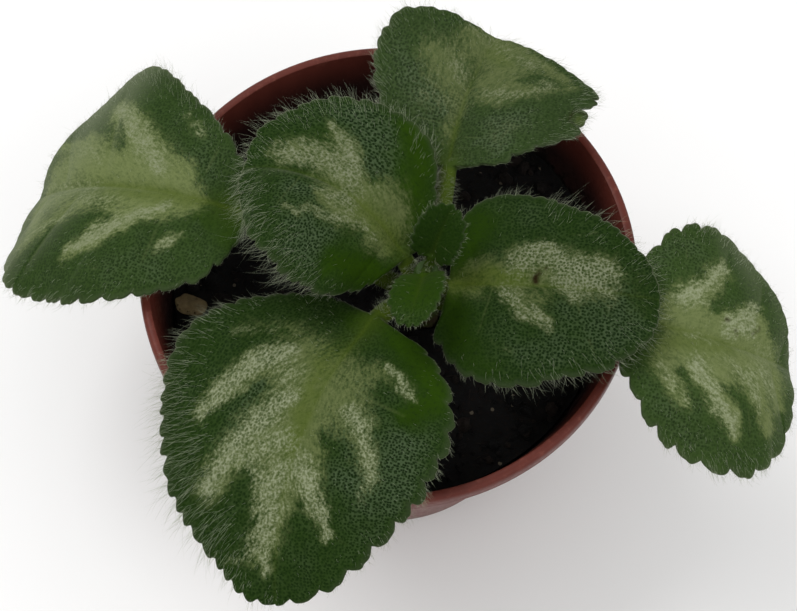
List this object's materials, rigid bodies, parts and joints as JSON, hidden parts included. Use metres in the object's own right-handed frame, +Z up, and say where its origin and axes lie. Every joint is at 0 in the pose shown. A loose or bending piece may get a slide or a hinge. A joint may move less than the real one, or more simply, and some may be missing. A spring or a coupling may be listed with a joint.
{
  "type": "potted primulina plant",
  "caption": "Young hairy-leaved primulina: a rosette of toothed, silver-marked green leaves on a short stem, in soil in a small tapered growing pot.",
  "frame": {"origin": "centre of the pot's underside, on the surface that the pot stands on", "axes": "+Z up through the pot, +X to the viewer's right as pictured, +Y away from the viewer"},
  "size_m": [0.1299, 0.0996, 0.0781],
  "materials": {
    "pot_plastic": "satin",
    "soil": "matte",
    "pumice": "matte",
    "stem": "matte",
    "leaf": "matte"
  },
  "bodies": {
    "root": {"pot": "pot_plastic", "soil": "soil", "pumice_grain": "pumice", "stem": "stem", "leaf_inner_left": "leaf", "leaf_inner_right": "leaf", "leaf_back": "leaf", "leaf_front": "leaf", "leaf_outer_left": "leaf", "leaf_outer_right": "leaf", "leaf_young_back": "leaf", "leaf_young_front": "leaf"}
  },
  "joints": []
}
